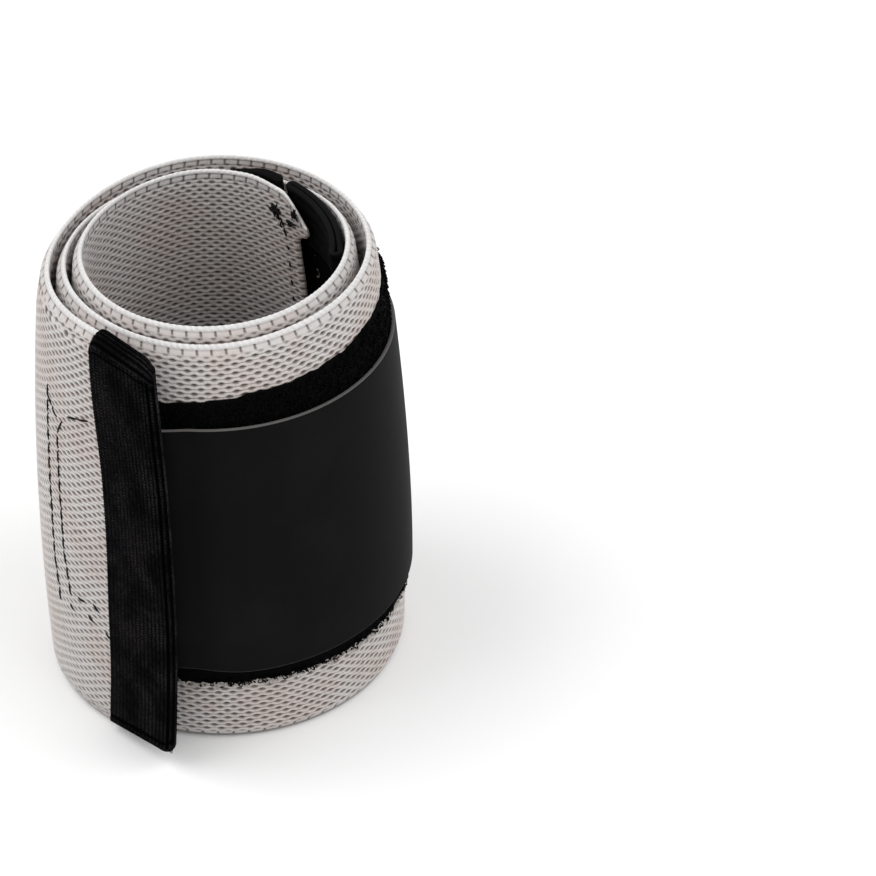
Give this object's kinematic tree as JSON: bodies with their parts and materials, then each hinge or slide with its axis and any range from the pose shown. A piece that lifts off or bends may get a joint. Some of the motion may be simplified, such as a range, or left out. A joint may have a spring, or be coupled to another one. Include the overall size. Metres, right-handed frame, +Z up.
{
  "type": "wrist wrap",
  "caption": "Rolled elastic wrist wrap standing on its edge: knitted band wound into a spiral, taped ends, closure tab on a loop panel, thumb loop.",
  "frame": {"origin": "middle of the roll's bounding box, on the surface that the roll stands on", "axes": "+Z up along the roll's axis; -Y is the front, where the taped outer end is seen; +X is the side with the closure tab"},
  "size_m": [0.0656, 0.0698, 0.0831],
  "materials": {
    "knitted_elastic": "light grey knitted elastic with white selvedges",
    "herringbone_tape": "black herringbone tape",
    "tab_sheet": "matte charcoal sheet with a smooth face",
    "loop_pile": "black looped pile",
    "ribbed_tape": "black tape with upright ribs",
    "ribbed_elastic": "black elastic strap with lengthwise ribs"
  },
  "bodies": {
    "root": {"elastic_band": "knitted_elastic", "outer_end_binding": "herringbone_tape", "closure_tab": "tab_sheet", "loop_panel": "loop_pile", "inner_end_binding": "ribbed_tape", "thumb_loop": "ribbed_elastic"}
  },
  "joints": []
}
